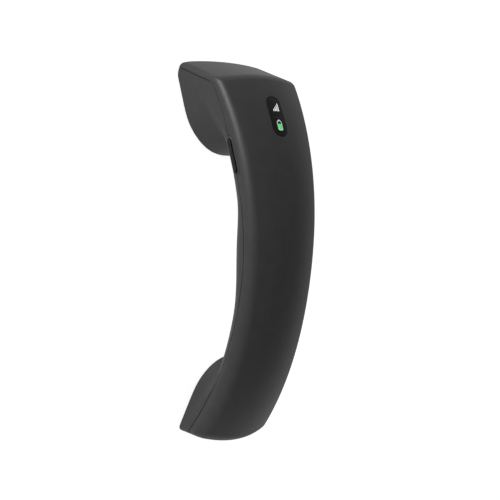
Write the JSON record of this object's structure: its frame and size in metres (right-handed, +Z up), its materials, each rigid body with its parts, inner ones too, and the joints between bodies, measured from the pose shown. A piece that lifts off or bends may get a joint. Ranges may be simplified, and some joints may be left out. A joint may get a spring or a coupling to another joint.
{
  "type": "telephone handset",
  "caption": "Wireless telephone handset with a crowned back, an ear cup, a mouth cup, a status window in the back and a rocking volume key in the left side.",
  "frame": {"origin": "midpoint of the length and width, on the ground the two cups rest on", "axes": "+X runs along the handset to the mouth cup, +Y to the side away from the volume key, +Z up from the cups to the crowned back"},
  "size_m": [0.2078, 0.054, 0.0678],
  "materials": {
    "shell": "fine satin texture, dark grey",
    "window": "glossy black lens",
    "black_plastic": "satin black",
    "board": "green laminate with solder mask",
    "switch": "moulded switch body",
    "cone": "thin dark film",
    "steel": "plain steel",
    "foam": "soft closed foam",
    "cloth": "fine black sound cloth",
    "can": "satin pressed can",
    "soft_rubber": "soft moulded rubber",
    "antenna_ceramic": "pale sintered block",
    "socket_plastic": "ivory moulded connector",
    "pouch": "plain foil pouch",
    "gold": "gold plated contact"
  },
  "bodies": {
    "handset": {"back_shell": "shell", "front_shell": "shell", "display_window": "window", "display_module": "board", "display_frame": "black_plastic", "key_frame": "shell", "key_board": "board", "key_switch_up": "switch", "key_switch_down": "switch", "receiver_basket": "black_plastic", "receiver_cone": "cone", "receiver_magnet": "steel", "receiver_gasket": "foam", "ear_mesh": "cloth", "microphone": "can", "microphone_boot": "soft_rubber", "main_board": "board", "radio_shield": "can", "antenna": "antenna_ceramic", "battery_socket": "socket_plastic", "battery_pack": "pouch", "battery_pad": "foam", "charge_contact_near": "gold", "charge_contact_far": "gold", "contact_board": "board", "cradle_magnet": "steel", "shell_screws": "steel", "screw_plugs": "soft_rubber"},
    "key": {"volume_key": "black_plastic"}
  },
  "joints": [
    {"name": "key_rock", "type": "hinge", "parent": "handset", "child": "key", "pos_m": [-0.05285, -0.01895, 0.04767], "axis": [-0.3079, -0.02, 0.9512], "range_deg": [-1.9, 1.9], "stiffness_Nm_per_rad": 0.27}
  ]
}
